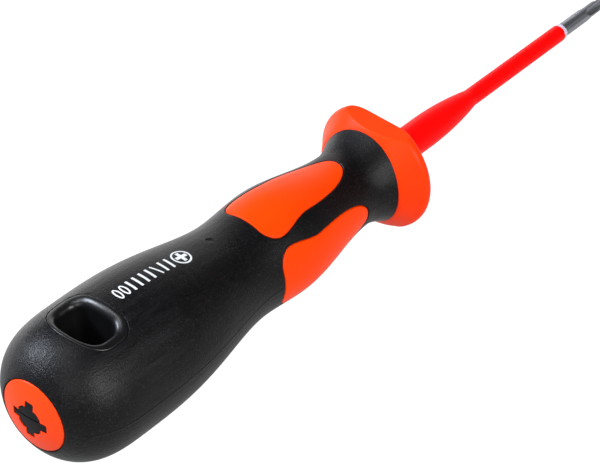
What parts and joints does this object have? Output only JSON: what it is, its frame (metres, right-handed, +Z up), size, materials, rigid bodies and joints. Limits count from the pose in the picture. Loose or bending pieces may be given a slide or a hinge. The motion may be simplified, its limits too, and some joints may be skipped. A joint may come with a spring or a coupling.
{
  "type": "insulated screwdriver",
  "caption": "Insulated screwdriver with a soft-grip bulb handle, finger pads, round guard with two flats, hanging hole, sleeved slim blade and combined cross and flat tip.",
  "frame": {"origin": "on the floor under the axis, halfway along the whole tool", "axes": "+X runs along the blade to its tip, +Z is up through the hanging hole and square to the guard's flats"},
  "size_m": [0.2034, 0.0344, 0.0344],
  "materials": {
    "blade_steel": "satin dark grey",
    "pale_insulation": "satin",
    "red_insulation": "satin gloss",
    "black_core": "gloss",
    "soft_grip": "finely grained satin",
    "orange_shell": "satin gloss",
    "orange_pad": "satin gloss",
    "black_symbol": "matte"
  },
  "bodies": {
    "root": {"blade": "blade_steel", "inner_insulation": "pale_insulation", "outer_sleeve": "red_insulation", "handle_core": "black_core", "soft_grip": "soft_grip", "guard": "orange_shell", "pad_top": "orange_pad", "pad_right": "orange_pad", "pad_bottom": "orange_pad", "pad_left": "orange_pad", "end_cap": "orange_shell", "cap_symbol": "black_symbol"}
  },
  "joints": []
}
